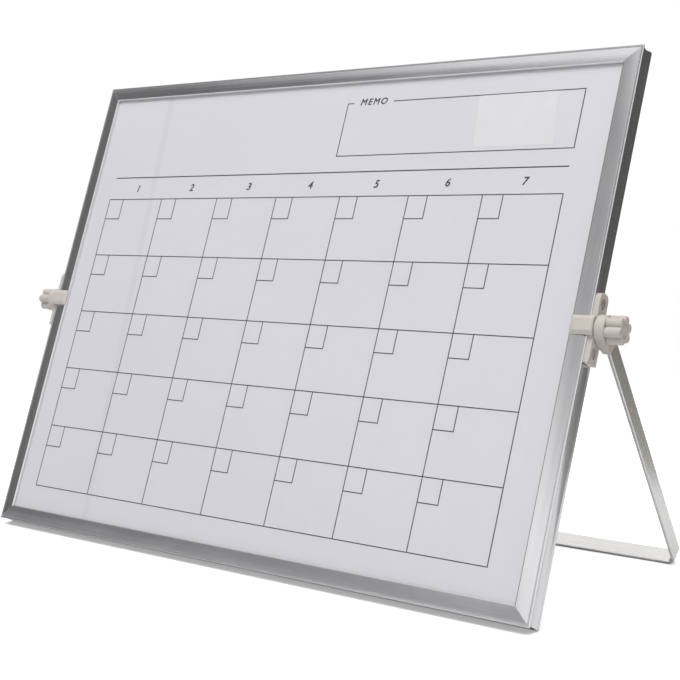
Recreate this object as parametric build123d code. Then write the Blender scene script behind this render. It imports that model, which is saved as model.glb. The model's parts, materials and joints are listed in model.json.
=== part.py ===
"""Magnetic desk whiteboard easel: a framed two-faced board that turns in a bent flat-bar stand.

Two coordinate frames are used before everything is set down on the table:
  board frame  X to the right, Y from the front lip to the back, Z up from the bottom edge
  stand frame  X to the right, Y to the back, Z up, with the pivot axis along X through the origin
"""
from build123d import *
from math import acos, atan2, copysign, cos, degrees, hypot, radians, sin
import os

# ---------------------------------------------------------------- driving dimensions, in mm
board_width = 356.0
board_height = 280.0
board_lean = 22.0              # degrees behind the vertical

rail_face = 8.8                # width of the rail seen from the front
rail_depth = 11.2              # front lip to back
face_crown = 0.75              # how far the inner edge of the face stands in front of the lip
wall = 1.1
lip_width = 0.9
lip_groove = 0.45
side_hollow = 0.62             # depth of the shallow hollow in the outer side
back_radius = 1.2

sheet_recess = 1.2             # from the lip to the writing face
panel_thickness = 8.0
sheet_thickness = 0.35
coat_thickness = 0.05          # baked coat, inside the rails only
coat_gap = 0.1                 # from the coat's edge to the rail
panel_tuck = 3.0               # how far the panel runs under the rail
web_gap = 0.2                  # from the panel's edge to the web that it meets

key_leg = 24.0
key_clearance = 0.1

plate_length = 34.0
plate_width = 8.8
plate_thickness = 2.8
plate_front_radius = 1.5
plate_back_radius = 3.2
arm_height = 9.2
arm_thickness = 1.6
arm_clearance = 0.05
arm_bevel_depth = 1.2          # long bevels round the outer faces of the arms
arm_bevel_width = 1.8
arm_corner = 0.5
screw_spacing = 23.6

pivot_depth = 5.2              # behind the front lip
hub_radius = 6.8
hub_edge = 0.4
hub_gap = 0.15                 # running gap between hub and bracket
hub_outer = 8.0                # all four measured out from the edge of the board
bar_outer = 7.3
knob_inner = 8.1
knob_outer = 15.9
socket_length = 10.5           # pivot to the mouth of the socket
socket_half_width = 5.2
socket_inset = 1.2             # how much thinner the mouth is, on the board's side

bar_width = 8.8
bar_thickness = 1.8
bar_edge = 0.3                 # chamfer along the bar's four corners
bar_bend_radius = 3.0          # inside of the bend
leg_length = 161.4             # pivot to the underside of the foot

knob_radius = 6.9
knob_lobes = 6
lobe_radius = 2.4
knob_core_radius = 5.0
right_knob_turn = 29.0         # degrees from straight back up to the first lobe
left_knob_turn = 10.0
knob_edge = 0.8
knob_well_radius = 4.2         # the well in the end of the knob
knob_well_depth = 0.9
knob_well_slope = 0.3
knob_dome_radius = 3.4         # the dome inside the well
knob_dome_height = 0.6

stud_radius = 2.0              # M4
stud_end = 0.2                 # out from the edge of the board
stud_in_knob = 4.6
stud_seat_gap = 0.02           # between the stud and the plastic moulded round it
nut_across_flats = 7.0
nut_thickness = 2.2
washer_radius = 4.0
running_clearance = 0.08

screw_head_radius = 2.5
screw_head_height = 1.1
screw_shank_radius = 1.45
screw_length = 5.4
screw_recess = 1.3
hole_clearance = 0.05

# ---------------------------------------------------------------- worked-out places
half_width = board_width / 2
half_lobe = 180 / knob_lobes   # degrees
web_outer = rail_face - panel_tuck - web_gap - wall
panel_inset = rail_face - panel_tuck
panel_back = sheet_recess + panel_thickness
channel_outer = side_hollow + wall
channel_front = sheet_recess + lip_groove
channel_back = rail_depth - wall


def extruded_along_x(face, start, end):
    """A YZ face pulled from x = start to x = end."""
    return Pos(start, 0, 0) * extrude(face, amount=end - start, dir=(1, 0, 0))


def mirrored(part):
    """The left-hand twin of a right-hand piece."""
    return mirror(part, about=Plane.YZ)


# ---------------------------------------------------------------- frame of the board
def rail_section():
    """Section of the rail: X inwards from the outer edge, Y from the front lip to the back."""
    lip_round = 0.3
    groove_end = lip_width + lip_groove
    edge_round = 0.45
    return_lip = 0.9
    shoulder = 7.8
    front_seat = sheet_recess + coat_thickness
    back_seat = panel_back - coat_thickness
    with BuildSketch() as sketch:
        with BuildLine():
            RadiusArc((0, lip_round), (lip_round, 0), lip_round)
            Polyline((lip_round, 0), (lip_width, 0), (lip_width, lip_groove),
                     (groove_end, lip_groove), (groove_end, 0))
            ThreePointArc((groove_end, 0), (rail_face / 2, -0.62 * face_crown),
                          (rail_face - edge_round, -face_crown))
            RadiusArc((rail_face - edge_round, -face_crown),
                      (rail_face, edge_round - face_crown), edge_round)
            Polyline((rail_face, edge_round - face_crown), (rail_face, front_seat),
                     (rail_face - return_lip, front_seat), (rail_face - return_lip, lip_groove),
                     (web_outer + wall, lip_groove), (web_outer + wall, rail_depth - wall),
                     (rail_face - return_lip, rail_depth - wall),
                     (rail_face - return_lip, back_seat), (rail_face, back_seat),
                     (rail_face, rail_depth - edge_round))
            RadiusArc((rail_face, rail_depth - edge_round),
                      (rail_face - edge_round, rail_depth), edge_round)
            Line((rail_face - edge_round, rail_depth), (back_radius, rail_depth))
            RadiusArc((back_radius, rail_depth), (0, rail_depth - back_radius), back_radius)
            Line((0, rail_depth - back_radius), (0, shoulder))
            ThreePointArc((0, shoulder), (side_hollow, 5.4), (side_hollow / 2, 1.0))
            Polyline((side_hollow / 2, 1.0), (0, 0.75), (0, lip_round))
        make_face()
        with Locations(((channel_outer + web_outer) / 2, (channel_front + channel_back) / 2)):
            Rectangle(web_outer - channel_outer, channel_back - channel_front, mode=Mode.SUBTRACT)
    return sketch.sketch


def mitred_rail(length):
    """A rail along X, its outer edge at z = 0 and its inside upwards, mitred at both ends."""
    standing = Plane(origin=(length / 2, 0, 0), x_dir=(0, 0, 1), z_dir=(-1, 0, 0))
    rail = extrude(standing * rail_section(), amount=length)
    for side in (-1, 1):
        cut = Plane(origin=(side * length / 2, 0, 0), z_dir=(side, 0, 1))
        rail = split(rail, bisect_by=cut, keep=Keep.BOTTOM)
    return rail


def frame_rails():
    """Four mitred rails in the board frame, the side ones drilled for the bracket screws."""
    centre = Pos(0, 0, board_height / 2)
    rails = {}
    for name, turn, length, reach in (
        ("bottom_rail", 0, board_width, board_height / 2),
        ("right_rail", -90, board_height, half_width),
        ("top_rail", 180, board_width, board_height / 2),
        ("left_rail", 90, board_height, half_width),
    ):
        rails[name] = centre * Rot(0, turn, 0) * Pos(0, 0, -reach) * mitred_rail(length)
    pilot_radius = screw_shank_radius + hole_clearance
    for name, side in (("left_rail", -1), ("right_rail", 1)):
        for height in screw_heights():
            hole = Pos(side * half_width, pivot_depth, height) * Rot(0, 90, 0)
            rails[name] -= hole * Cylinder(pilot_radius, 2 * channel_outer + 0.5)
    return rails


def corner_key(side, top):
    """L-shaped key that lies in the channels of two rails and holds their mitre together."""
    thickness = web_outer - channel_outer - 2 * key_clearance
    width = channel_back - channel_front - 2 * key_clearance
    near = channel_outer + key_clearance
    middle = (channel_front + channel_back) / 2
    arm = Box(key_leg, width, thickness, align=(Align.MIN, Align.CENTER, Align.MIN))
    post = Box(thickness, width, key_leg, align=(Align.MIN, Align.CENTER, Align.MIN))
    turn = Rot(0, {(-1, 0): 0, (-1, 1): 90, (1, 1): 180, (1, 0): 270}[side, top], 0)
    corner = Pos(side * half_width, 0, top * board_height)
    return corner * turn * Pos(near, middle, near) * (arm + post)


def panel_slab(inset, front, thickness):
    """Rectangle of the panel's stack, inset from the board's edge, from a depth backwards."""
    slab = Box(board_width - 2 * inset, thickness, board_height - 2 * inset,
               align=(Align.CENTER, Align.MIN, Align.CENTER))
    return Pos(0, front, board_height / 2) * slab


def panel_layers():
    """Two steel sheets on a light core. Their margins under the rails are left uncoated."""
    window = rail_face + coat_gap
    bare = sheet_thickness - coat_thickness
    back_of_core = panel_back - sheet_thickness
    front_sheet = (panel_slab(window, sheet_recess, coat_thickness)
                   + panel_slab(panel_inset, sheet_recess + coat_thickness, bare))
    rear_sheet = (panel_slab(panel_inset, back_of_core, bare)
                  + panel_slab(window, panel_back - coat_thickness, coat_thickness))
    core = panel_slab(panel_inset, sheet_recess + sheet_thickness,
                      panel_thickness - 2 * sheet_thickness)
    return {"front_sheet": front_sheet, "core_board": core, "rear_sheet": rear_sheet}


# ---------------------------------------------------------------- brackets on the side rails
def screw_heights():
    """Heights of the two bracket screws above the board's bottom edge."""
    return [board_height / 2 + side * screw_spacing / 2 for side in (-1, 1)]


def side_plate():
    """Flat plate of the bracket, in YZ about the pivot, from the edge of the board outwards."""
    half_long = plate_length / 2
    half_wide = plate_width / 2
    with BuildSketch(Plane.YZ) as sketch:
        Rectangle(plate_width, plate_length)
        back = sketch.vertices().filter_by(lambda v: v.Y > 0)
        fillet(back, plate_back_radius)
        front = sketch.vertices().filter_by(lambda v: v.Y < -half_wide + 0.01)
        fillet(front.filter_by(lambda v: abs(v.Z) > half_long - 0.01), plate_front_radius)
    return extruded_along_x(sketch.sketch, 0, plate_thickness)


def bevel_wedge(edge, outside, depth):
    """Triangle cut off a corner: along the outside from the edge, and down from the outside."""
    inwards = copysign(arm_bevel_width, edge)
    return Polygon((edge - inwards, outside), (edge, outside), (edge, outside - depth), align=None)


def rail_clamp():
    """U-shaped strap of the bracket, wrapped round the front, side and back of the rail."""
    middle = (rail_depth - face_crown) / 2 - pivot_depth
    inner = (rail_depth + face_crown) / 2 + arm_clearance
    outer = inner + arm_thickness
    outline = Pos((plate_thickness - rail_face) / 2, 0) * Rectangle(
        plate_thickness + rail_face, 2 * outer)
    outline -= Pos(-rail_face, 0) * Rectangle(2 * rail_face, 2 * inner)
    strap = Pos(0, 0, -arm_height / 2) * extrude(outline, amount=arm_height)
    corners = strap.edges().filter_by(Axis.Z).sort_by(Axis.X)[-2:]
    strap = chamfer(corners, arm_corner)
    for side in (-1, 1):
        depth = side * arm_bevel_depth
        tip = Plane.XY * bevel_wedge(-rail_face, side * outer, depth)
        strap -= extrude(tip, amount=arm_height, both=True)
        for end in (-1, 1):
            rim = Plane.ZY * bevel_wedge(end * arm_height / 2, side * outer, depth)
            strap -= extrude(rim, amount=2 * rail_face, both=True)
    return Pos(0, middle, 0) * strap


def bracket():
    """Right-hand bracket: plate and strap, with its screw holes, stud bore and nut pocket."""
    body = side_plate() + rail_clamp()
    along_x = Rot(0, 90, 0)
    for side in (-1, 1):
        height = side * screw_spacing / 2
        body -= Pos(0, 0, height) * along_x * Cylinder(
            screw_shank_radius + 3 * hole_clearance, 4 * plate_thickness)
        body -= Pos(plate_thickness, 0, height) * along_x * Cylinder(
            screw_head_radius + 6 * hole_clearance, 2 * screw_recess)
    body -= along_x * Cylinder(stud_radius + 2 * running_clearance, 4 * plate_thickness)
    pocket = RegularPolygon(nut_across_flats / 2 + hole_clearance, 6, major_radius=False)
    body -= extruded_along_x(Plane.YZ * pocket, -1, nut_thickness + hole_clearance)
    return Pos(half_width, pivot_depth, board_height / 2) * body


def bracket_screws():
    """The two screws of the right-hand bracket, as separate solids with plain round heads."""
    upwards = (Align.CENTER, Align.CENTER, Align.MIN)
    downwards = (Align.CENTER, Align.CENTER, Align.MAX)
    screw = (Cylinder(screw_head_radius, screw_head_height, align=upwards)
             + Cylinder(screw_shank_radius, screw_length, align=downwards))
    floor = half_width + plate_thickness - screw_recess
    low, high = (Pos(floor, pivot_depth, height) * Rot(0, 90, 0) * screw
                 for height in screw_heights())
    return low + high


def captive_nut():
    """Thin M4 nut held in the pocket of the right-hand bracket."""
    hexagon = RegularPolygon(nut_across_flats / 2, 6, major_radius=False)
    ring = hexagon - Circle(stud_radius + running_clearance)
    nut = extruded_along_x(Plane.YZ * ring, 0, nut_thickness)
    return Pos(half_width, pivot_depth, board_height / 2) * nut


# ---------------------------------------------------------------- stand, leg straight down
def bar_end_outline():
    """Outline of the bar's rounded upper end in YZ, carried down past the socket's mouth."""
    tail = socket_length + 1
    return Circle(bar_width / 2) + Pos(0, -tail / 2) * Rectangle(bar_width, tail)


def hub():
    """Right-hand hub: a drum on the pivot that narrows to a socket round the end of the bar."""
    inner = plate_thickness + hub_gap
    along_x = Rot(0, 90, 0)
    drum = Pos(inner, 0, 0) * along_x * Cylinder(
        hub_radius, hub_outer - inner, align=(Align.CENTER, Align.CENTER, Align.MIN))
    drum = chamfer(drum.edges().filter_by(GeomType.CIRCLE), hub_edge)
    shoulder = hub_radius * 0.25
    waist = hub_radius * 0.96
    neck = Polygon((-waist, -shoulder), (-socket_half_width, -socket_length),
                   (socket_half_width, -socket_length), (waist, -shoulder), align=None)
    body = drum + extruded_along_x(Plane.YZ * neck, inner, hub_outer)
    taper = Polygon((inner, -0.8 * hub_radius), (inner + socket_inset, -socket_length),
                    (inner + socket_inset, -socket_length - 1), (inner - 1, -socket_length - 1),
                    (inner - 1, -0.8 * hub_radius), align=None)
    body -= extrude(Plane.XZ * taper, amount=2 * hub_radius, both=True)
    body -= extruded_along_x(Plane.YZ * bar_end_outline(), bar_outer - bar_thickness, bar_outer)
    body -= along_x * Cylinder(stud_radius + running_clearance, 4 * hub_outer)
    body -= Pos(hub_outer, 0, 0) * along_x * Cylinder(
        washer_radius + 2 * hole_clearance, 2 * (hub_outer - bar_outer))
    return Pos(half_width, 0, 0) * body


def stand_bar():
    """Flat bar bent into a U: two legs with drilled round ends, and the foot between them."""
    outer = half_width + bar_outer - bar_thickness / 2
    foot = -leg_length + bar_thickness / 2
    bend = bar_bend_radius + bar_thickness / 2
    path = FilletPolyline((-outer, 0, 0), (-outer, 0, foot), (outer, 0, foot), (outer, 0, 0),
                          radius=bend)
    start = Plane(origin=(-outer, 0, 0), x_dir=(0, 1, 0), z_dir=(0, 0, -1))
    section = Rectangle(bar_width, bar_thickness)
    section = chamfer(section.vertices(), bar_edge)
    bar = sweep(start * section, path=path)
    for side in (-1, 1):
        end = Plane.YZ * (Circle(bar_width / 2) - Pos(0, -bar_width) * Rectangle(
            2 * bar_width, 2 * bar_width))
        low = side * outer - bar_thickness / 2
        bar += extruded_along_x(end, low, low + bar_thickness)
    return bar - Rot(0, 90, 0) * Cylinder(stud_radius + 2 * running_clearance, 3 * outer)


def washer():
    """Washer in the right-hand hub's counterbore, between the bar and the knob."""
    ring = Circle(washer_radius) - Circle(stud_radius + 2 * running_clearance)
    flat = extruded_along_x(Plane.YZ * ring, bar_outer, knob_inner)
    return Pos(half_width, 0, 0) * flat


# ---------------------------------------------------------------- knobs, on the pivot axis
def lobed_outline():
    """Star outline of the knob: round lobes about a plain core, one hollow at angle zero."""
    lobes = PolarLocations(knob_radius - lobe_radius, knob_lobes, start_angle=half_lobe)
    with BuildSketch() as sketch:
        Circle(knob_core_radius)
        with lobes:
            Circle(lobe_radius)
    return sketch.sketch


def knob_end_tool():
    """Tool that turns the end of the knob: a round well with a dome in it."""
    floor = knob_outer - knob_well_depth
    above = knob_outer + 1
    with BuildPart() as tool:
        with BuildSketch(Plane.XZ):
            with BuildLine():
                Polyline((0, above), (knob_well_radius, above), (knob_well_radius, knob_outer),
                         (knob_well_radius - knob_well_slope, floor), (knob_dome_radius, floor),
                         (0.6 * knob_dome_radius, floor + 0.75 * knob_dome_height),
                         (0, floor + knob_dome_height), close=True)
            make_face()
        revolve(axis=Axis.Z)
    return Rot(0, 90, 0) * tool.part


def knob(turn):
    """Right-hand clamping knob: a lobed grip with a domed well in its end, moulded on the stud."""
    grip = extruded_along_x(Plane.YZ * lobed_outline(), knob_inner, knob_outer)
    rim = grip.faces().sort_by(Axis.X)[-1].edges()
    grip = Rot(turn - half_lobe, 0, 0) * chamfer(rim, knob_edge) - knob_end_tool()
    bore = Rot(0, 90, 0) * Cylinder(stud_radius + stud_seat_gap, 2 * stud_in_knob)
    return Pos(half_width, 0, 0) * (grip - Pos(knob_inner, 0, 0) * bore)


def knob_stud():
    """Threaded stud moulded into the right-hand knob."""
    length = knob_inner + stud_in_knob - stud_end
    stud = Cylinder(stud_radius, length, align=(Align.CENTER, Align.CENTER, Align.MIN))
    return Pos(half_width + stud_end, 0, 0) * Rot(0, 90, 0) * stud


# ---------------------------------------------------------------- setting it down on the table
def in_pairs(name, part):
    """Right-hand piece and its mirrored twin, by name."""
    return {"right_" + name: part, "left_" + name: mirrored(part)}


def board_pieces():
    """Everything that belongs to the board, in the board frame."""
    pieces = {}
    pieces.update(panel_layers())
    pieces.update(frame_rails())
    for level, top in (("lower", 0), ("upper", 1)):
        pieces[f"corner_key_{level}_left"] = corner_key(-1, top)
        pieces[f"corner_key_{level}_right"] = corner_key(1, top)
    pieces.update(in_pairs("bracket", bracket()))
    pieces.update(in_pairs("bracket_screws", bracket_screws()))
    pieces.update(in_pairs("captive_nut", captive_nut()))
    return pieces


def stand_pieces():
    """Everything that swings with the stand, in the stand frame."""
    pieces = {"stand_bar": stand_bar()}
    pieces.update(in_pairs("hub", hub()))
    return pieces


def clamp_pieces():
    """Knobs, studs and washers, about the pivot axis."""
    pieces = {}
    pieces.update(in_pairs("washer", washer()))
    pieces["right_knob"] = knob(right_knob_turn)
    pieces["left_knob"] = mirrored(knob(left_knob_turn))
    pieces.update(in_pairs("knob_stud", knob_stud()))
    return pieces


def board_place():
    """Leans the board back on its rounded lower back edge, which touches the table."""
    lean = radians(board_lean)
    drop = back_radius * (cos(lean) + sin(lean) - 1)
    return Pos(0, 0, -drop) * Rot(-board_lean, 0, 0) * Pos(0, -rail_depth, 0)


def stand_swing(pivot_height):
    """Angle behind the vertical, in degrees, at which the foot's front corner meets the table."""
    across = bar_width / 2 - bar_edge
    reach = acos(pivot_height / hypot(leg_length, across))
    return degrees(reach + atan2(across, leg_length))


def assembled():
    """All pieces in the object's frame, and the point where the pivot axis crosses x = 0."""
    leaning = board_place()
    pivot = (leaning * Pos(0, pivot_depth, board_height / 2)).position
    swing = stand_swing(pivot.Z)
    pieces = {name: leaning * part for name, part in board_pieces().items()}
    on_pivot = Pos(pivot)
    for name, part in stand_pieces().items():
        pieces[name] = on_pivot * Rot(swing, 0, 0) * part
    for name, part in clamp_pieces().items():
        pieces[name] = on_pivot * Rot(-board_lean, 0, 0) * part
    boxes = [part.bounding_box() for part in pieces.values()]
    middle = (min(box.min.Y for box in boxes) + max(box.max.Y for box in boxes)) / 2
    to_centre = Pos(0, -middle, 0)
    return {name: to_centre * part for name, part in pieces.items()}, to_centre * Pos(pivot), swing


def main():
    os.makedirs("parts", exist_ok=True)
    pieces, pivot, swing = assembled()
    for name, part in pieces.items():
        export_step(part, f"parts/{name}.step")
    print("pivot", pivot.position, "stand swing", round(swing, 3))


main()
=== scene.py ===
"""Desk whiteboard easel: the looks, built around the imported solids.

Every finish is a node material, and the printed calendar, the blank film tab, the knobs and the
bracket screws are modelled here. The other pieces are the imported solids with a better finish.
"""

import json
import math

import bpy
from mathutils import Matrix, Vector


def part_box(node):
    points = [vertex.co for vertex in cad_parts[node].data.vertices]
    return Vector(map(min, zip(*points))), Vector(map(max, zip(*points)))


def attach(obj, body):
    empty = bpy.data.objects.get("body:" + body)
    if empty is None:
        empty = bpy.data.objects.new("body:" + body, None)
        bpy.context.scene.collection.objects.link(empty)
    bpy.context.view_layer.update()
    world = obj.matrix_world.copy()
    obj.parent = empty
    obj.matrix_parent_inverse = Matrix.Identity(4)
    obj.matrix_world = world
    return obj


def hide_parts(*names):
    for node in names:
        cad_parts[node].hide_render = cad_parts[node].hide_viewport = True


bl_info = {
    "name": "Desk Whiteboard Easel",
    "version": (1, 0, 0),
    "blender": (4, 5, 0),
    "location": "3D View > Sidebar > Whiteboard Easel",
    "description": "Dresses a desk whiteboard easel and sets its studio",
    "category": "Add Mesh",
}

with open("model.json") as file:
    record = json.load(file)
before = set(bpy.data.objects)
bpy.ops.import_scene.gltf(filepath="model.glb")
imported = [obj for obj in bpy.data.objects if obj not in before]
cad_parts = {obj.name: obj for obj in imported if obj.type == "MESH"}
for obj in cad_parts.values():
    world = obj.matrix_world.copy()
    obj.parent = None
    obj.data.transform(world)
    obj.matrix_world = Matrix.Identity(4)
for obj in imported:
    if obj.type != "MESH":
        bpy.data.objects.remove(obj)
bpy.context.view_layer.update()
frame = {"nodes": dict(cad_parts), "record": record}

MM = 0.001
SIDES = {"left": -1, "right": 1}
COLUMNS, ROWS = 7, 5
LOBES = 6
# Each knob's first lobe, from straight up the board: so far up from straight behind it.
FIRST_LOBES = {"left": math.radians(10 - 90), "right": math.radians(29 - 90)}


# ------------------------------------------------------------------ where things are
def joint_named(name):
    """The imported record's entry for one joint."""
    return next(j for j in frame["record"]["behaviour"]["joints"] if j["name"] == name)


def mount_named(name):
    """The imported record's entry for one mount."""
    return next(m for m in frame["record"]["mounts"] if m["name"] == name)


def board_matrix():
    """Places a drawing on the writing face: X across, Y up the board, Z out of the face."""
    mount = mount_named("writing_face")
    out = Vector(mount["axis"])
    across = Vector((1, 0, 0))
    turn = Matrix((across, out.cross(across), out)).transposed().to_4x4()
    return Matrix.Translation(Vector(mount["pos_m"])) @ turn


def pivot_matrix(side):
    """Places a turned piece on the pivot: Z outwards through that side's knob, X up the board."""
    out = Vector((SIDES[side], 0, 0))
    up = board_matrix().to_3x3().col[1]
    turn = Matrix((up, out.cross(up), out)).transposed().to_4x4()
    return Matrix.Translation(Vector(joint_named("stand_turn")["pos_m"])) @ turn


BOARD = board_matrix()
PIVOT = Vector(joint_named("stand_turn")["pos_m"])
BOARD_HALF_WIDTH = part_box("top_rail")[1][0]
BOARD_LEAN = math.asin(mount_named("writing_face")["axis"][2])
BOARD_HALF_HEIGHT = 140 * MM
STAND_SWING = math.radians(36.802)  # of the legs from straight down; the steel's grain follows


# ------------------------------------------------------------------ sizes and colours to change
def length(name, description, default):
    """A length in metres that the user can change."""
    return bpy.props.FloatProperty(name=name, description=description, default=default,
                                   min=0.0, unit="LENGTH", subtype="DISTANCE", precision=5)


def colour(name, description, default):
    """A colour that the user can change."""
    return bpy.props.FloatVectorProperty(name=name, description=description, default=default,
                                         size=3, min=0.0, max=1.0, subtype="COLOR")


class EaselSizes(bpy.types.PropertyGroup):
    """Sizes of what is printed and stuck on the board."""
    line: length("Line", "Width of a printed line", 0.54 * MM)
    header_line: length("Header line", "Width of the line over the headings", 0.66 * MM)
    ink: length("Ink", "Thickness of the print", 0.03 * MM)
    column: length("Column", "Width of a column", 43.84 * MM)
    row: length("Row", "Height of a row", 36.16 * MM)
    last_row: length("Last row", "Height of the bottom row", 37.2 * MM)
    grid_left: length("Grid left", "From the frame's outer edge to the first line", 22.2 * MM)
    grid_top: length("Grid top", "From the frame's top edge to the first line", 74.84 * MM)
    date_width: length("Date width", "Width of a date box", 11.6 * MM)
    date_height: length("Date height", "Height of a date box", 12.65 * MM)
    heading: length("Heading", "Letter size of the column numbers", 6.1 * MM)
    label: length("Label", "Letter size of the memo label", 5.2 * MM)
    weight: length("Weight", "How much bolder than plain the letters are, on each side", 0.14 * MM)
    tab: length("Tab", "Thickness of the film tab", 0.06 * MM)


class EaselColours(bpy.types.PropertyGroup):
    """Base colours of the finishes."""
    enamel: colour("Enamel", "Writing face", (0.665, 0.66, 0.69))
    ink: colour("Ink", "Printed lines and letters", (0.055, 0.055, 0.065))
    tab: colour("Tab", "Film tab", (0.71, 0.70, 0.72))
    rail: colour("Rail", "Anodised aluminium of the frame", (0.79, 0.785, 0.81))
    stand: colour("Stand", "Brushed steel of the stand", (0.84, 0.83, 0.81))
    plastic: colour("Plastic", "Moulded brackets, hubs and knobs", (0.58, 0.533, 0.49))
    screw: colour("Screw", "Plated screws, nuts, studs and washers", (0.46, 0.45, 0.44))
    core: colour("Core", "Fibreboard between the sheets", (0.42, 0.30, 0.19))
    key: colour("Key", "Corner keys inside the frame", (0.03, 0.03, 0.033))


def sizes():
    """The size settings of this scene."""
    return bpy.context.scene.easel_sizes


def colours():
    """The colour settings of this scene."""
    return bpy.context.scene.easel_colours


# ------------------------------------------------------------------ modelling helpers
def deselect():
    """Leaves edit mode and selects nothing."""
    if bpy.context.object and bpy.context.object.mode != "OBJECT":
        bpy.ops.object.mode_set(mode="OBJECT")
    bpy.ops.object.select_all(action="DESELECT")


def only(piece):
    """Makes one piece the selected and active one."""
    deselect()
    piece.select_set(True)
    bpy.context.view_layer.objects.active = piece


def named(name):
    """Names the active object and returns it."""
    piece = bpy.context.object
    piece.name = name
    piece.data.name = name
    return piece


def edit(piece, domain="FACE", everything=True):
    """Opens a piece in edit mode, with all of it selected or none."""
    only(piece)
    bpy.ops.object.mode_set(mode="EDIT")
    bpy.ops.mesh.select_mode(type=domain)
    bpy.ops.mesh.select_all(action="SELECT" if everything else "DESELECT")


def select_faces(piece, wanted):
    """In edit mode, selects the faces whose centre passes the test."""
    bpy.ops.object.mode_set(mode="OBJECT")
    for face in piece.data.polygons:
        face.select = wanted(face.center)
    bpy.ops.object.mode_set(mode="EDIT")


def select_points(piece, wanted):
    """In edit mode, selects the points that pass the test, and the edges between them."""
    bpy.ops.mesh.select_mode(type="VERT")
    bpy.ops.mesh.select_all(action="DESELECT")
    bpy.ops.object.mode_set(mode="OBJECT")
    for point in piece.data.vertices:
        point.select = wanted(point.co)
    bpy.ops.object.mode_set(mode="EDIT")


def modify(piece, kind, **settings):
    """Adds a modifier to a piece and applies it."""
    only(piece)
    modifier = piece.modifiers.new(kind.title(), kind)
    for key, value in settings.items():
        setattr(modifier, key, value)
    bpy.ops.object.modifier_apply(modifier=modifier.name)


def settle(piece, place):
    """Puts a finished piece in its place, and that place in its mesh."""
    only(piece)
    piece.matrix_world = place
    bpy.ops.object.transform_apply(location=True, rotation=True, scale=True)


def outwards(piece):
    """Merges doubled points and turns every face outwards."""
    edit(piece)
    bpy.ops.mesh.remove_doubles(threshold=1e-6)
    bpy.ops.mesh.normals_make_consistent(inside=False)
    deselect()


def smooth(piece, degrees=35):
    """Smooth shading, with the edges sharper than the angle kept."""
    only(piece)
    bpy.ops.object.shade_smooth_by_angle(angle=math.radians(degrees))


def finish_piece(piece, material, body):
    """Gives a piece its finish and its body."""
    piece.data.materials.clear()
    piece.data.materials.append(material)
    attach(piece, body)


def dress(nodes, material):
    """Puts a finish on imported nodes."""
    for name in nodes:
        for slot in frame["nodes"][name].material_slots:
            slot.material = material


def plate(name, left, right, low, high):
    """A flat rectangle in the board's own plane, as a start for print and tabs."""
    deselect()
    bpy.ops.mesh.primitive_plane_add(size=1, location=((left + right) / 2, (low + high) / 2, 0))
    piece = named(name)
    piece.scale = (right - left, high - low, 1)
    bpy.ops.object.transform_apply(location=True, rotation=False, scale=True)
    return piece


def thicken(piece, thickness):
    """Gives flat print its thickness, upwards from the face that it lies on."""
    modify(piece, "SOLIDIFY", thickness=thickness, offset=1)


def outline(piece, line):
    """Leaves only a band of the given width inside a flat piece's edge."""
    edit(piece)
    bpy.ops.mesh.inset(thickness=line)
    bpy.ops.mesh.delete(type="FACE")
    deselect()


def join(pieces, name):
    """Joins pieces into the first one."""
    deselect()
    for piece in pieces:
        piece.select_set(True)
    bpy.context.view_layer.objects.active = pieces[0]
    bpy.ops.object.join()
    return named(name)


# ------------------------------------------------------------------ materials
def new_material(name):
    """An empty node material, with its tree and its output."""
    material = bpy.data.materials.new(name)
    material.use_nodes = True
    tree = material.node_tree
    tree.nodes.clear()
    return material, tree


def add(tree, kind, inputs=None, **settings):
    """Adds a node. An input is a value, or a socket to link from."""
    node = tree.nodes.new(kind)
    for key, value in settings.items():
        setattr(node, key, value)
    for key, value in (inputs or {}).items():
        if isinstance(value, bpy.types.NodeSocket):
            tree.links.new(value, node.inputs[key])
        else:
            node.inputs[key].default_value = value
    return node


def placed(tree, origin, angle):
    """Object coordinates turned about X by an angle and centred on a point."""
    coordinates = add(tree, "ShaderNodeTexCoord")
    mapping = add(tree, "ShaderNodeMapping", {
        "Vector": coordinates.outputs["Object"],
        "Location": -(Matrix.Rotation(angle, 3, "X") @ Vector(origin)),
        "Rotation": (angle, 0, 0),
    })
    return mapping.outputs["Vector"]


def stretched(tree, vector, scale):
    """Coordinates stretched to make a grain."""
    return add(tree, "ShaderNodeMapping", {"Vector": vector, "Scale": scale}).outputs["Vector"]


def noise(tree, vector, scale, detail=2.0, roughness=0.5):
    """Noise from 0 to 1."""
    return add(tree, "ShaderNodeTexNoise", {
        "Vector": vector, "Scale": scale, "Detail": detail, "Roughness": roughness,
    }).outputs["Fac"]


def spread(tree, value, low, high):
    """A value from 0 to 1 spread between two others."""
    return add(tree, "ShaderNodeMapRange", {
        "Value": value, "From Min": 0.25, "From Max": 0.75, "To Min": low, "To Max": high,
    }).outputs["Result"]


def tinted(tree, value, dark, light):
    """A colour between two, by a value."""
    mix = add(tree, "ShaderNodeMix", {"Factor": value}, data_type="RGBA")
    mix.inputs["A"].default_value = (*dark, 1)
    mix.inputs["B"].default_value = (*light, 1)
    return mix.outputs["Result"]


def shade(rgb, factor):
    """A colour made darker or lighter."""
    return tuple(min(1.0, channel * factor) for channel in rgb)


def bumped(tree, height, distance, strength=1.0):
    """A normal from a height."""
    return add(tree, "ShaderNodeBump", {
        "Height": height, "Distance": distance, "Strength": strength,
    }).outputs["Normal"]


def eased(tree, radius, height, distance, strength):
    """A normal from a height, over edges that look rounded off by a radius."""
    rounded = add(tree, "ShaderNodeBevel", {"Radius": radius}, samples=6)
    return add(tree, "ShaderNodeBump", {
        "Height": height, "Distance": distance, "Strength": strength,
        "Normal": rounded.outputs["Normal"],
    }).outputs["Normal"]


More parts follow.
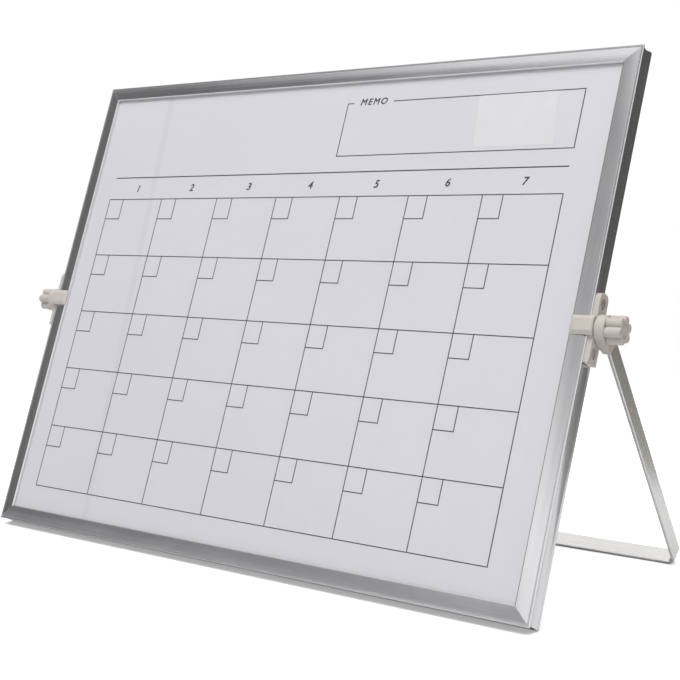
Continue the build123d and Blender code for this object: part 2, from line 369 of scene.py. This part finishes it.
def surface(tree, **inputs):
    """The surface shader, linked to the output."""
    shader = add(tree, "ShaderNodeBsdfPrincipled", {
        key.replace("_", " "): value for key, value in inputs.items()})
    add(tree, "ShaderNodeOutputMaterial", {"Surface": shader.outputs["BSDF"]})
    return shader


def board_space(tree):
    """Coordinates on the board: X across, Y up from its middle, Z out of the writing face."""
    return placed(tree, BOARD.translation, BOARD_LEAN - math.pi / 2)


def enamel_material(name, shaded_crease):
    """Baked white enamel: faint cloudiness, orange peel, and painted shade along its film's crease.
    """
    material, tree = new_material(name)
    place = board_space(tree)
    base = tuple(colours().enamel)
    cloud = noise(tree, place, 14, detail=3)
    tone = tinted(tree, spread(tree, cloud, 0, 1), shade(base, 0.985), shade(base, 1.012))
    if shaded_crease:
        left_of_middle, slant = 117.0 * MM, 0.0575
        axes = add(tree, "ShaderNodeSeparateXYZ", {"Vector": place}).outputs
        drift = add(tree, "ShaderNodeMath", {0: axes["Y"], 1: slant},
                    operation="MULTIPLY").outputs[0]
        upright = add(tree, "ShaderNodeMath", {0: axes["X"], 1: drift}, operation="ADD").outputs[0]
        offset = add(tree, "ShaderNodeMath", {0: upright, 1: left_of_middle},
                     operation="ADD").outputs[0]
        away = add(tree, "ShaderNodeMath", {0: offset}, operation="ABSOLUTE").outputs[0]
        # Painted shade: a band along the film's crease, darker by up to about 5 percent.
        crease_painted_shade = add(tree, "ShaderNodeMapRange", {
            "Value": away, "From Min": 1.2 * MM, "From Max": 3.0 * MM,
            "To Min": 0.954, "To Max": 1.0,
        }, interpolation_type="SMOOTHSTEP").outputs["Result"]
        darker = add(tree, "ShaderNodeVectorMath", {0: tone}, operation="SCALE")
        tree.links.new(crease_painted_shade, darker.inputs["Scale"])
        tone = darker.outputs["Vector"]
    peel = noise(tree, place, 900, detail=1)
    surface(tree, Base_Color=tone, Roughness=0.32, Specular_IOR_Level=0.35,
            Coat_Weight=0.25, Coat_Roughness=0.12,
            Normal=bumped(tree, peel, 0.004 * MM, 0.4))
    return material


def metal_material(name, base, space, grain, rough, contrast, scratch, across=None):
    """Drawn or brushed metal: streaks along the grain in tone, roughness and height.

    With a direction across the grain, highlights are drawn out that way.
    """
    material, tree = new_material(name)
    place = space(tree)
    streaks = noise(tree, stretched(tree, place, grain), 1, detail=4, roughness=0.65)
    patches = noise(tree, place, 25, detail=2)
    tone = tinted(tree, spread(tree, streaks, 0, 1), shade(base, 1 - contrast),
                  shade(base, 1 + contrast))
    both = add(tree, "ShaderNodeMath", {0: streaks, 1: patches}, operation="MULTIPLY").outputs[0]
    roughness = add(tree, "ShaderNodeMapRange", {
        "Value": both, "From Min": 0.1, "From Max": 0.45,
        "To Min": rough * 0.85, "To Max": rough * 1.2,
    }).outputs["Result"]
    shader = surface(tree, Base_Color=tone, Metallic=1.0, Roughness=roughness,
                     Normal=eased(tree, 0.3 * MM, streaks, scratch, 0.6))
    if across:
        shader.inputs["Anisotropic"].default_value = 0.75
        direction = add(tree, "ShaderNodeCombineXYZ", dict(zip("XYZ", across))).outputs["Vector"]
        tree.links.new(direction, shader.inputs["Tangent"])
    return material


def stand_space(tree):
    """Coordinates on the stand: X along the foot, Y across the bar's width, Z up the legs."""
    return placed(tree, PIVOT, -STAND_SWING)


def plastic_material():
    """Moulded pale plastic: soft gloss, faint flow marks and a fine mould texture."""
    material, tree = new_material("pale_moulded_plastic")
    place = board_space(tree)
    base = tuple(colours().plastic)
    flow = noise(tree, place, 160, detail=3)
    tone = tinted(tree, spread(tree, flow, 0, 1), shade(base, 0.97), shade(base, 1.03))
    grain = noise(tree, place, 2600, detail=1)
    surface(tree, Base_Color=tone, Roughness=0.34, Specular_IOR_Level=0.5,
            Subsurface_Weight=0.08, Subsurface_Scale=0.0015,
            Normal=eased(tree, 0.35 * MM, grain, 0.006 * MM, 0.35))
    return material


def ink_material():
    """Screen-printed ink, a little uneven in density."""
    material, tree = new_material("calendar_ink")
    base = tuple(colours().ink)
    density = noise(tree, board_space(tree), 700, detail=2)
    tone = tinted(tree, spread(tree, density, 0, 1), shade(base, 0.8), shade(base, 1.3))
    surface(tree, Base_Color=tone, Roughness=0.5)
    return material


def tab_material():
    """Paler film stuck on the enamel."""
    material, tree = new_material("film_tab")
    base = tuple(colours().tab)
    cloud = noise(tree, board_space(tree), 120, detail=2)
    tone = tinted(tree, spread(tree, cloud, 0, 1), shade(base, 0.985), shade(base, 1.01))
    surface(tree, Base_Color=tone, Roughness=0.3, Coat_Weight=0.2, Coat_Roughness=0.2)
    return material


def fibre_material():
    """Pressed fibreboard."""
    material, tree = new_material("fibreboard")
    place = board_space(tree)
    base = tuple(colours().core)
    fibres = noise(tree, stretched(tree, place, (300, 900, 900)), 1, detail=4)
    tone = tinted(tree, spread(tree, fibres, 0, 1), shade(base, 0.75), shade(base, 1.2))
    surface(tree, Base_Color=tone, Roughness=0.85, Normal=bumped(tree, fibres, 0.05 * MM))
    return material


def key_material():
    """Black moulded nylon of the corner keys."""
    material, tree = new_material("corner_key_nylon")
    base = tuple(colours().key)
    grain = noise(tree, board_space(tree), 1500, detail=2)
    tone = tinted(tree, spread(tree, grain, 0, 1), shade(base, 0.8), shade(base, 1.3))
    surface(tree, Base_Color=tone, Roughness=0.55, Normal=bumped(tree, grain, 0.01 * MM))
    return material


def shared(name, maker):
    """A material by name, made once."""
    return bpy.data.materials.get(name) or maker()


def plastic():
    """The pale moulded plastic."""
    return shared("pale_moulded_plastic", plastic_material)


def ink():
    """The ink of everything printed."""
    return shared("calendar_ink", ink_material)


def plated():
    """Zinc-plated steel for the small hardware."""
    return shared("plated_steel", lambda: metal_material(
        "plated_steel", tuple(colours().screw), board_space, grain=(400, 400, 400),
        rough=0.28, contrast=0.06, scratch=0.004 * MM))


# ------------------------------------------------------------------ operators
class PieceOperator:
    """What every operator here shares."""
    bl_options = {"REGISTER", "UNDO"}

    def execute(self, context):
        self.make()
        return {"FINISHED"}


class EASEL_OT_sheets(PieceOperator, bpy.types.Operator):
    """Finish the two enamelled sheets and the core between them"""
    bl_idname = "easel.sheets"
    bl_label = "Sheets and core"

    def make(self):
        dress(["front_sheet"], enamel_material("enamel_with_crease_shade", True))
        dress(["rear_sheet"], enamel_material("plain_enamel", False))
        dress(["core_board"], fibre_material())


class EASEL_OT_rails(PieceOperator, bpy.types.Operator):
    """Finish the four aluminium rails, each with its grain along its length"""
    bl_idname = "easel.rails"
    bl_label = "Frame rails and corner keys"

    def make(self):
        base = tuple(colours().rail)
        drawn = {"rough": 0.21, "contrast": 0.04, "scratch": 0.003 * MM}
        along, fine = 6, 1500
        level = metal_material(
            "rail_aluminium_level", base, board_space, grain=(along, fine, fine),
            across=tuple(BOARD.to_3x3().col[1]), **drawn)
        upright = metal_material(
            "rail_aluminium_upright", base, board_space, grain=(fine, along, fine),
            across=(1, 0, 0), **drawn)
        dress(["top_rail", "bottom_rail"], level)
        dress(["left_rail", "right_rail"], upright)
        keys = [f"corner_key_{end}_{side}" for end in ("lower", "upper") for side in SIDES]
        dress(keys, key_material())


class EASEL_OT_stand(PieceOperator, bpy.types.Operator):
    """Finish the bent bar and the hubs on its ends"""
    bl_idname = "easel.stand"
    bl_label = "Stand bar and hubs"

    def make(self):
        steel = metal_material(
            "brushed_stand_steel", tuple(colours().stand), stand_space, grain=(25, 1400, 25),
            rough=0.28, contrast=0.10, scratch=0.008 * MM)
        dress(["stand_bar"], steel)
        dress([f"{side}_hub" for side in SIDES], plastic())


class EASEL_OT_brackets(PieceOperator, bpy.types.Operator):
    """Finish the brackets and the hardware hidden in them"""
    bl_idname = "easel.brackets"
    bl_label = "Brackets and inner hardware"

    def make(self):
        for side in SIDES:
            dress([f"{side}_bracket"], plastic())
            dress([f"{side}_{part}" for part in ("captive_nut", "washer", "knob_stud")], plated())


def column_left(index):
    """Left edge of a calendar column, from the middle of the board."""
    return sizes().grid_left - BOARD_HALF_WIDTH + index * sizes().column


def below_top(distance):
    """Height on the board of a point so far below the frame's top edge."""
    return BOARD_HALF_HEIGHT - distance


def calendar_grid():
    """The ruled grid: cells inset to leave the lines between and round them."""
    size = sizes()
    half = size.line / 2
    deselect()
    top = below_top(size.grid_top)
    width = COLUMNS * size.column
    height = ROWS * size.row
    bpy.ops.mesh.primitive_grid_add(
        x_subdivisions=COLUMNS, y_subdivisions=ROWS, size=1,
        location=(column_left(0) + width / 2, top - height / 2, 0))
    grid = named("calendar_grid")
    grid.scale = (width, height, 1)
    bpy.ops.object.transform_apply(location=True, rotation=False, scale=True)
    edit(grid)
    bottom = top - height
    select_points(grid, lambda point: point.y < bottom + half)
    bpy.ops.transform.translate(value=(0, size.row - size.last_row, 0))
    edit(grid)
    bpy.ops.mesh.inset(thickness=half, use_individual=True)
    bpy.ops.mesh.delete(type="FACE")
    deselect()
    rim = plate("grid_rim", column_left(0) - half, column_left(COLUMNS) + half,
                bottom + size.row - size.last_row - half, top + half)
    outline(rim, half)
    return [grid, rim]


def date_boxes():
    """The date box's two inner lines, modelled once and repeated over the grid."""
    size = sizes()
    half = size.line / 2
    left, top = column_left(0) + half, below_top(size.grid_top) - half
    right = column_left(0) + size.date_width
    low = below_top(size.grid_top) - size.date_height
    box = plate("date_boxes", left, right + half, low - half, top)
    edit(box)
    for place, direction in (((right - half, 0, 0), (1, 0, 0)), ((0, low + half, 0), (0, 1, 0))):
        bpy.ops.mesh.select_all(action="SELECT")
        bpy.ops.mesh.bisect(plane_co=place, plane_no=direction)
    select_faces(box, lambda centre: centre.x < right - half and centre.y > low + half)
    bpy.ops.mesh.delete(type="FACE")
    deselect()
    modify(box, "ARRAY", count=COLUMNS, use_relative_offset=False, use_constant_offset=True,
           constant_offset_displace=(size.column, 0, 0))
    modify(box, "ARRAY", count=ROWS, use_relative_offset=False, use_constant_offset=True,
           constant_offset_displace=(0, -size.row, 0))
    return box


class EASEL_OT_calendar(PieceOperator, bpy.types.Operator):
    """Print the ruled calendar: grid, date boxes and header line"""
    bl_idname = "easel.calendar"
    bl_label = "Calendar lines"

    def make(self):
        size = sizes()
        over_grid, left_end, right_end = 14.1 * MM, 0.9 * MM, 0.3 * MM
        header = below_top(size.grid_top - over_grid)
        half = size.header_line / 2
        rule = plate("header_line", column_left(0) + left_end, column_left(COLUMNS) + right_end,
                     header - half, header + half)
        ruled = join([*calendar_grid(), date_boxes(), rule], "calendar_lines")
        thicken(ruled, size.ink)
        settle(ruled, BOARD)
        finish_piece(ruled, ink(), "board")


def lettering(name, words, size, place, spacing):
    """Plain slanted letters, made bolder by a bevel and then pressed as thin as ink."""
    deselect()
    bpy.ops.object.text_add(location=(0, 0, 0))
    text = bpy.context.object
    text.data.body = words
    text.data.size = size
    text.data.shear = 0.2
    text.data.bevel_depth = sizes().weight
    text.data.bevel_resolution = 0
    text.data.space_character = spacing
    text.data.align_x = "CENTER"
    text.data.align_y = "CENTER"
    bpy.ops.object.convert(target="MESH")
    text = named(name)
    text.location = (*place, sizes().ink / 2)
    text.scale = (1, 1, sizes().ink / text.dimensions.z)
    bpy.ops.object.transform_apply(location=True, rotation=False, scale=True)
    outwards(text)
    return text


class EASEL_OT_headings(PieceOperator, bpy.types.Operator):
    """Print a plain number over each column"""
    bl_idname = "easel.headings"
    bl_label = "Column numbers"

    def make(self):
        size = sizes()
        over_grid = 6.7 * MM
        height = below_top(size.grid_top - over_grid)
        numbers = [
            lettering(f"column_number_{index + 1}", str(index + 1), size.heading,
                      (column_left(index) + size.column / 2, height), spacing=1.15)
            for index in range(COLUMNS)]
        headings = join(numbers, "column_numbers")
        settle(headings, BOARD)
        finish_piece(headings, ink(), "board")


class EASEL_OT_memo(PieceOperator, bpy.types.Operator):
    """Print the memo box, its label and the blank film tab over it"""
    bl_idname = "easel.memo"
    bl_label = "Memo box and film tab"

    def make(self):
        size = sizes()
        first_line = below_top(size.grid_top)
        # Measured in columns from the first line, and in rows over the grid.
        left, right = column_left(3.796), column_left(7.024)
        top, low = first_line + 1.51 * size.row, first_line + 0.643 * size.row
        gap = column_left(3.89), column_left(4.48)
        box = plate("memo_box", left, right, low, top)
        outline(box, size.line)
        edit(box)
        for side in gap:
            bpy.ops.mesh.select_all(action="SELECT")
            bpy.ops.mesh.bisect(plane_co=(side, 0, 0), plane_no=(1, 0, 0))
        select_faces(box, lambda centre: gap[0] < centre.x < gap[1] and centre.y > top - 2 * MM)
        bpy.ops.mesh.delete(type="FACE")
        deselect()
        thicken(box, size.ink)
        label = lettering("memo_label", "MEMO", size.label, (sum(gap) / 2, top), spacing=1.3)
        memo = join([box, label], "memo_box")
        settle(memo, BOARD)
        finish_piece(memo, ink(), "board")
        self.tab()

    def tab(self):
        """The slightly skewed rectangle of film stuck over the memo box."""
        size = sizes()
        left, top, skew = 271.2 * MM - BOARD_HALF_WIDTH, below_top(20.75 * MM), 2.6 * MM
        width, height = 44.3 * MM, 28.3 * MM
        tab = plate("film_tab", left, left + width, top - height, top)
        edit(tab, "VERT", everything=False)
        select_points(tab, lambda point: point.y < top - height / 2)
        bpy.ops.transform.translate(value=(skew, 0, 0))
        edit(tab, "VERT")
        bpy.ops.mesh.bevel(offset=0.8 * MM, segments=4, affect="VERTICES")
        deselect()
        thicken(tab, size.tab)
        settle(tab, BOARD)
        finish_piece(tab, shared("film_tab", tab_material), "board")


# ------------------------------------------------------------------ knobs
def lobe_reach(angle, centre_radius, lobe_radius):
    """Distance from the axis to the nearest lobe's outline in a direction, 0 beside the lobe."""
    step = 2 * math.pi / LOBES
    offset = (angle + step / 2) % step - step / 2
    across = centre_radius * math.sin(offset)
    if abs(across) >= lobe_radius:
        return 0.0
    return centre_radius * math.cos(offset) + math.sqrt(lobe_radius ** 2 - across ** 2)


def step_loop(scale, rise):
    """Extrudes the selected loop, scales it about the axis and lifts it."""
    bpy.ops.mesh.extrude_edges_move()
    bpy.ops.transform.resize(value=(scale, scale, 1), center_override=(0, 0, 0))
    bpy.ops.transform.translate(value=(0, 0, rise))


def shaped_loop(piece, reach_at, height):
    """Extrudes the selected loop to an outline given by its reach in each direction."""
    bpy.ops.mesh.extrude_edges_move()
    bpy.ops.object.mode_set(mode="OBJECT")
    for point in piece.data.vertices:
        if point.select:
            angle = math.atan2(point.co.y, point.co.x)
            reach = reach_at(angle)
            point.co = (reach * math.cos(angle), reach * math.sin(angle), height)
    bpy.ops.object.mode_set(mode="EDIT")


class EASEL_OT_knobs(PieceOperator, bpy.types.Operator):
    """Model the lobed clamping knobs"""
    bl_idname = "easel.knobs"
    bl_label = "Knobs"

    inner: length("Inner end", "From the middle of the board to the knob", 186.1 * MM)
    rim: length("Rim", "From the middle of the board to the knob's rim", 193.88 * MM)
    lobe_centre: length("Lobe centre", "From the axis to a lobe's centre", 4.5 * MM)
    lobe: length("Lobe", "Radius of a lobe", 2.4 * MM)
    core: length("Core", "Radius of the core between the lobes", 4.95 * MM)
    edge: length("Edge", "Radius of the rounded rim", 0.75 * MM)
    well: length("Well", "Radius of the well in the end", 4.0 * MM)
    sunk: length("Sunk", "Depth of the well", 0.85 * MM)
    dome: length("Dome", "Radius of the dome in the well", 3.3 * MM)
    rise: length("Rise", "Height of the dome over the well's floor", 0.6 * MM)

    def make(self):
        for side in SIDES:
            knob = self.knob(f"{side}_lobed_knob", SIDES[side] * FIRST_LOBES[side])
            settle(knob, pivot_matrix(side))
            smooth(knob, 32)
            finish_piece(knob, plastic(), f"{side}_clamp_knob")
            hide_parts(f"{side}_knob")

    def knob(self, name, first):
        """One knob about Z, drawn loop by loop from its inner end to the middle of its dome."""
        deselect()
        points_round = 24 * LOBES
        bpy.ops.mesh.primitive_circle_add(vertices=points_round, radius=self.dome,
                                          location=(0, 0, self.inner), fill_type="NGON")
        knob = named(name)
        bpy.ops.object.transform_apply(location=True, rotation=False, scale=False)
        edit(knob)
        bpy.ops.mesh.region_to_loop()
        for ease, height in self.grip_profile():
            shaped_loop(knob, lambda angle: max(self.core - ease, lobe_reach(
                angle - first, self.lobe_centre, self.lobe - ease)), height)
        for reach, height in self.end_profile():
            shaped_loop(knob, lambda angle: reach, height)
        bpy.ops.mesh.merge(type="CENTER")
        outwards(knob)
        return knob

    def grip_profile(self):
        """How far each loop of the grip is eased in, and its height, up to the rounded rim."""
        corner = 0.25 * MM
        profile = [(corner, self.inner), (0, self.inner + corner)]
        steps = 6
        for index in range(steps + 1):
            turn = math.pi / 2 * index / steps
            profile.append((self.edge * (1 - math.cos(turn)),
                            self.rim - self.edge * (1 - math.sin(turn))))
        return profile

    def end_profile(self):
        """Radius and height of each loop, from the well's edge over the dome to near its middle."""
        floor = self.rim - self.sunk
        profile = [(self.well, self.rim), (self.well - 0.12 * MM, self.rim - 0.1 * MM),
                   (self.well - 0.3 * MM, floor + 0.15 * MM), (self.well - 0.45 * MM, floor),
                   (self.dome + 0.05 * MM, floor)]
        steps = 8
        for index in range(steps):
            turn = math.pi / 2 * index / steps
            profile.append((self.dome * math.cos(turn), floor + self.rise * math.sin(turn)))
        return profile


# ------------------------------------------------------------------ bracket screws
class EASEL_OT_screws(PieceOperator, bpy.types.Operator):
    """Model the recessed pan-head screws of the brackets"""
    bl_idname = "easel.screws"
    bl_label = "Bracket screws"

    seat: length("Seat", "From the middle of the board to the underside of the heads", 179.5 * MM)
    spacing: length("Spacing", "Distance between the two screws", 23.6 * MM)
    head: length("Head", "Radius of the head", 2.45 * MM)
    height: length("Height", "Height of the head", 1.08 * MM)
    shank: length("Shank", "Radius of the shank", 1.4 * MM)
    reach: length("Reach", "Length of the shank", 5.3 * MM)

    def make(self):
        for side in SIDES:
            low = self.screw(f"{side}_pan_screws")
            high = low.copy()
            high.data = low.data.copy()
            bpy.context.collection.objects.link(high)
            half = self.spacing / 2
            for screw, offset in ((low, -half), (high, half)):
                settle(screw, pivot_matrix(side) @ Matrix.Translation((offset, 0, self.seat)))
            screws = join([low, high], f"{side}_pan_screws")
            smooth(screws, 30)
            finish_piece(screws, plated(), "board")
            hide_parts(f"{side}_bracket_screws")

    def screw(self, name):
        """A screw about Z with its head's underside at zero, its crossed recess cut in."""
        deselect()
        bpy.ops.mesh.primitive_circle_add(vertices=40, radius=self.head,
                                          location=(0, 0, 0.5 * self.height), fill_type="NGON")
        screw = named(name)
        edit(screw)
        steps, crown = 4, 0.45
        for index in range(steps):
            start, end = (math.pi / 2 * k / steps for k in (index, index + 1))
            bpy.ops.mesh.inset(thickness=crown * self.head * (math.cos(start) - math.cos(end)),
                               depth=0.5 * self.height * (math.sin(end) - math.sin(start)))
        bpy.ops.mesh.select_all(action="SELECT")
        bpy.ops.mesh.region_to_loop()
        radius = self.head
        level = 0.5 * self.height
        point = 1.0 * MM
        for reach, height in ((self.head, 0.0), (self.shank, 0.0),
                              (self.shank, point - self.reach),
                              (0.4 * self.shank, -self.reach)):
            step_loop(reach / radius, height - level)
            radius, level = reach, height
        bpy.ops.mesh.edge_face_add()
        outwards(screw)
        self.cut_recess(screw)
        return screw

    def cut_recess(self, screw):
        """Cuts the crossed driver recess into the head."""
        width, thickness, depth = 2.9 * MM, 0.62 * MM, 1.5 * MM
        for turn in (0, math.pi / 2):
            deselect()
            bpy.ops.mesh.primitive_cube_add(size=1, location=(0, 0, self.height))
            blade = named("driver_blade")
            blade.scale = (width, thickness, depth)
            blade.rotation_euler = (0, 0, turn)
            bpy.ops.object.transform_apply(location=True, rotation=True, scale=True)
            edit(blade, "VERT", everything=False)
            middle = self.height
            select_points(blade, lambda point: point.z < middle)
            bpy.ops.transform.resize(value=(0.35, 0.35, 1), center_override=(0, 0, 0))
            deselect()
            modify(screw, "BOOLEAN", object=blade, operation="DIFFERENCE", solver="EXACT")
            bpy.data.objects.remove(blade)


# ------------------------------------------------------------------ stage
def floor_material():
    """Pale table that takes shadows near the easel and fades into the white backdrop.

    Close under a piece a painted contact shade darkens its colour and its lift further. The eye
    sees it a little lifted, and far off white.
    """
    material, tree = new_material("white_table")
    reach, lift_strength, fade_start, fade_end = 22 * MM, 0.64, 0.4, 0.9
    place = add(tree, "ShaderNodeTexCoord").outputs["Object"]
    cloud = noise(tree, place, 3, detail=2)
    # Painted contact shade: the floor's colour and its lift get darker the closer a piece stands
    # over it.
    near_piece = add(tree, "ShaderNodeAmbientOcclusion", {"Distance": reach}, samples=8)
    painted_contact_shade = add(tree, "ShaderNodeMapRange", {
        "Value": near_piece.outputs["AO"], "From Min": 0.2, "From Max": 0.75,
        "To Min": 0.52, "To Max": 1.0}, interpolation_type="SMOOTHSTEP").outputs["Result"]
    tone = add(tree, "ShaderNodeVectorMath", {
        0: tinted(tree, cloud, (0.72, 0.72, 0.72), (0.74, 0.74, 0.74)), "Scale": painted_contact_shade},
        operation="SCALE").outputs["Vector"]
    matt = add(tree, "ShaderNodeBsdfDiffuse", {"Color": tone})
    seen = add(tree, "ShaderNodeLightPath").outputs["Is Camera Ray"]
    strength = add(tree, "ShaderNodeMath", {0: seen, 1: lift_strength},
                   operation="MULTIPLY").outputs[0]
    strength = add(tree, "ShaderNodeMath", {0: strength, 1: painted_contact_shade},
                   operation="MULTIPLY").outputs[0]
    lift = add(tree, "ShaderNodeEmission", {"Color": (1, 1, 1, 1), "Strength": strength})
    near = add(tree, "ShaderNodeAddShader", {0: matt.outputs[0], 1: lift.outputs[0]})
    white = add(tree, "ShaderNodeEmission", {"Color": (1, 1, 1, 1), "Strength": 1.0})
    distance = add(tree, "ShaderNodeVectorMath", {0: place}, operation="LENGTH")
    fade = add(tree, "ShaderNodeMapRange", {
        "Value": distance.outputs["Value"], "From Min": fade_start, "From Max": fade_end},
        interpolation_type="SMOOTHSTEP").outputs["Result"]
    backdrop = add(tree, "ShaderNodeMath", {0: fade, 1: sees_backdrop(tree)},
                   operation="MULTIPLY").outputs[0]
    mix = add(tree, "ShaderNodeMixShader", {0: backdrop, 1: near.outputs[0], 2: white.outputs[0]})
    add(tree, "ShaderNodeOutputMaterial", {"Surface": mix.outputs[0]})
    return material


def sees_backdrop(tree):
    """1 for the rays that see the backdrop as white: camera, glossy and transmission rays."""
    path = add(tree, "ShaderNodeLightPath").outputs
    total = path["Is Camera Ray"]
    for kind in ("Is Glossy Ray", "Is Transmission Ray"):
        total = add(tree, "ShaderNodeMath", {0: total, 1: path[kind]},
                    operation="MAXIMUM").outputs[0]
    return total


def light_world():
    """White backdrop, and a soft even room light."""
    world = bpy.data.worlds.new("studio_room")
    bpy.context.scene.world = world
    world.use_nodes = True
    tree = world.node_tree
    tree.nodes.clear()
    white = add(tree, "ShaderNodeBackground", {"Color": (1, 1, 1, 1), "Strength": 1.0})
    room = add(tree, "ShaderNodeBackground", {"Color": (0.97, 0.98, 1, 1), "Strength": 0.44})
    mix = add(tree, "ShaderNodeMixShader", {
        0: sees_backdrop(tree), 1: room.outputs[0], 2: white.outputs[0]})
    add(tree, "ShaderNodeOutputWorld", {"Surface": mix.outputs[0]})


def facing(place, target):
    """Placement of something whose back is turned to a point: its -Z looks at the target."""
    away = Vector(place) - Vector(target)
    return Matrix.Translation(place) @ away.to_track_quat("Z", "Y").to_matrix().to_4x4()


def softbox(name, place, target, size, watts):
    """A square light aimed at a point, kept out of the metal's reflections."""
    lamp = bpy.data.lights.new(name, "AREA")
    lamp.shape = "SQUARE"
    lamp.size = size
    lamp.energy = watts
    holder = bpy.data.objects.new(name, lamp)
    bpy.context.collection.objects.link(holder)
    holder.matrix_world = facing(place, target)
    holder.visible_glossy = False


def reflection_screen_glow(name, height, levels, right_level, tint):
    """Glow of a reflection screen, painted light and shade for reflections: its level at each
    height, blended towards the right into one level.
    """
    material, tree = new_material(name)
    place = add(tree, "ShaderNodeTexCoord").outputs["Object"]
    axes = add(tree, "ShaderNodeSeparateXYZ", {"Vector": place}).outputs
    share = add(tree, "ShaderNodeMath", {0: axes["Y"], 1: 0.5}, operation="ADD").outputs[0]
    ramp = add(tree, "ShaderNodeValToRGB", {"Fac": share})
    stops = ramp.color_ramp.elements
    for index, (level_height, level) in enumerate(levels):
        stop = stops[index] if index < 2 else stops.new(1.0)
        stop.position = level_height / height
        stop.color = (level, level, level, 1)
    strength = ramp.outputs["Color"]
    if right_level is not None:
        blend_start, blend_end = -0.17, 0.06
        strength = add(tree, "ShaderNodeMapRange", {
            "Value": axes["X"], "From Min": blend_start, "From Max": blend_end,
            "To Min": right_level, "To Max": strength}).outputs["Result"]
    glow = add(tree, "ShaderNodeEmission", {"Color": (*tint, 1), "Strength": strength})
    add(tree, "ShaderNodeOutputMaterial", {"Surface": glow.outputs[0]})
    return material


def reflection_screen(name, azimuth, distance, width, height, levels, right_level=None,
                tint=(1, 1, 1)):
    """An upright glowing screen seen only in reflections, so many degrees round from the front:
    painted light and shade for the reflections in metal and gloss.

    Its levels are pairs of a height and how bright the screen is there.
    """
    turn = math.radians(azimuth)
    place = Vector((-distance * math.sin(turn), -distance * math.cos(turn), height / 2))
    deselect()
    bpy.ops.mesh.primitive_plane_add(size=1)
    reflection_plane = named(name)
    reflection_plane.matrix_world = facing(place, (0, 0, height / 2)) @ Matrix.Diagonal((width, height, 1, 1))
    reflection_plane.data.materials.append(reflection_screen_glow(name, height, levels, right_level, tint))
    reflection_plane.visible_camera = False
    reflection_plane.visible_diffuse = False
    reflection_plane.visible_shadow = False
    reflection_plane.visible_transmission = False


def view_camera():
    """A long lens from the front right, a little above the board's middle."""
    picture, focal_length, centre_x, centre_y = 680, 1308.04, 295.88, 407.10  # pixels
    place = (437.09 * MM, -580.19 * MM, 188.0 * MM)
    turn, tilt, roll = (math.radians(angle) for angle in (37.741, 8.676, 0.414))
    lens = bpy.data.cameras.new("view_camera")
    lens.sensor_width = 36.0
    lens.lens = focal_length / picture * lens.sensor_width
    lens.shift_x = (picture / 2 - centre_x) / picture
    lens.shift_y = (centre_y - picture / 2) / picture
    lens.clip_start = 0.01
    camera = bpy.data.objects.new("view_camera", lens)
    bpy.context.collection.objects.link(camera)
    back = Vector((math.sin(turn) * math.cos(tilt), -math.cos(turn) * math.cos(tilt),
                   math.sin(tilt)))
    level = (-back).cross(Vector((0, 0, 1))).normalized()
    down = (-back).cross(level)
    right = level * math.cos(roll) + down * math.sin(roll)
    up = level * math.sin(roll) - down * math.cos(roll)
    turned = Matrix((right, up, back)).transposed().to_4x4()
    camera.matrix_world = Matrix.Translation(place) @ turned
    bpy.context.scene.camera = camera


class EASEL_OT_stage(PieceOperator, bpy.types.Operator):
    """Set the table, the lights and the camera"""
    bl_idname = "easel.stage"
    bl_label = "Stage"

    def make(self):
        deselect()
        bpy.ops.mesh.primitive_plane_add(size=14, location=(0, 0, 0))
        table = named("table_top")
        table.data.materials.append(floor_material())
        light_world()
        softbox("overhead_softbox", place=(0.1, -0.78, 2.25), target=(0, 0, 0.1), size=1.3,
                watts=41)
        softbox("rear_softbox", place=(0.1, 2.0, 0.9), target=(0, 0, 0.12), size=1.2, watts=14)
        # Glowing screens seen only in reflections: painted reflections, bright and dark, on the
        # rails, the stand and every gloss.
        reflection_screen(
            "front_left_reflection_screen", azimuth=36, distance=1.6, width=3.6, height=2.4, levels=[
                (0, 0.25), (0.5, 0.28), (0.75, 1.0), (1.0, 1.0), (1.32, 0.46), (1.66, 0.36)],
            right_level=0.13)
        reflection_screen("left_reflection_screen", azimuth=110, distance=1.6, width=2.0, height=1.2,
                    levels=[(0, 0.2), (1.2, 0.2)])
        reflection_screen("back_right_reflection_screen", azimuth=210, distance=0.38, width=1.2, height=0.8,
                    levels=[(0, 0.38), (0.15, 0.1)], tint=(1, 0.96, 0.9))
        view_camera()
        bpy.context.scene.view_settings.view_transform = "Standard"


class EASEL_PT_pieces(bpy.types.Panel):
    """Everything that can be made or finished, in order"""
    bl_idname = "EASEL_PT_pieces"
    bl_label = "Whiteboard Easel"
    bl_space_type = "VIEW_3D"
    bl_region_type = "UI"
    bl_category = "Whiteboard Easel"

    def draw(self, context):
        layout = self.layout
        for group in (context.scene.easel_sizes, context.scene.easel_colours):
            box = layout.box()
            for name in group.bl_rna.properties.keys():
                if name not in ("rna_type", "name"):
                    box.prop(group, name)
        for operator in OPERATORS:
            layout.operator(operator.bl_idname)


OPERATORS = (
    EASEL_OT_sheets, EASEL_OT_rails, EASEL_OT_stand, EASEL_OT_brackets, EASEL_OT_calendar,
    EASEL_OT_headings, EASEL_OT_memo, EASEL_OT_knobs, EASEL_OT_screws, EASEL_OT_stage,
)
CLASSES = (EaselSizes, EaselColours, *OPERATORS, EASEL_PT_pieces)


def register():
    """Registers the classes and adds the settings to the scene."""
    for cls in CLASSES:
        bpy.utils.register_class(cls)
    bpy.types.Scene.easel_sizes = bpy.props.PointerProperty(type=EaselSizes)
    bpy.types.Scene.easel_colours = bpy.props.PointerProperty(type=EaselColours)


def unregister():
    """Takes the settings and the classes away again."""
    del bpy.types.Scene.easel_colours
    del bpy.types.Scene.easel_sizes
    for cls in reversed(CLASSES):
        bpy.utils.unregister_class(cls)


def main():
    """Makes every piece in order."""
    register()
    for operator in OPERATORS:
        group, name = operator.bl_idname.split(".")
        getattr(getattr(bpy.ops, group), name)()
    deselect()


if __name__ == "__main__":
    main()
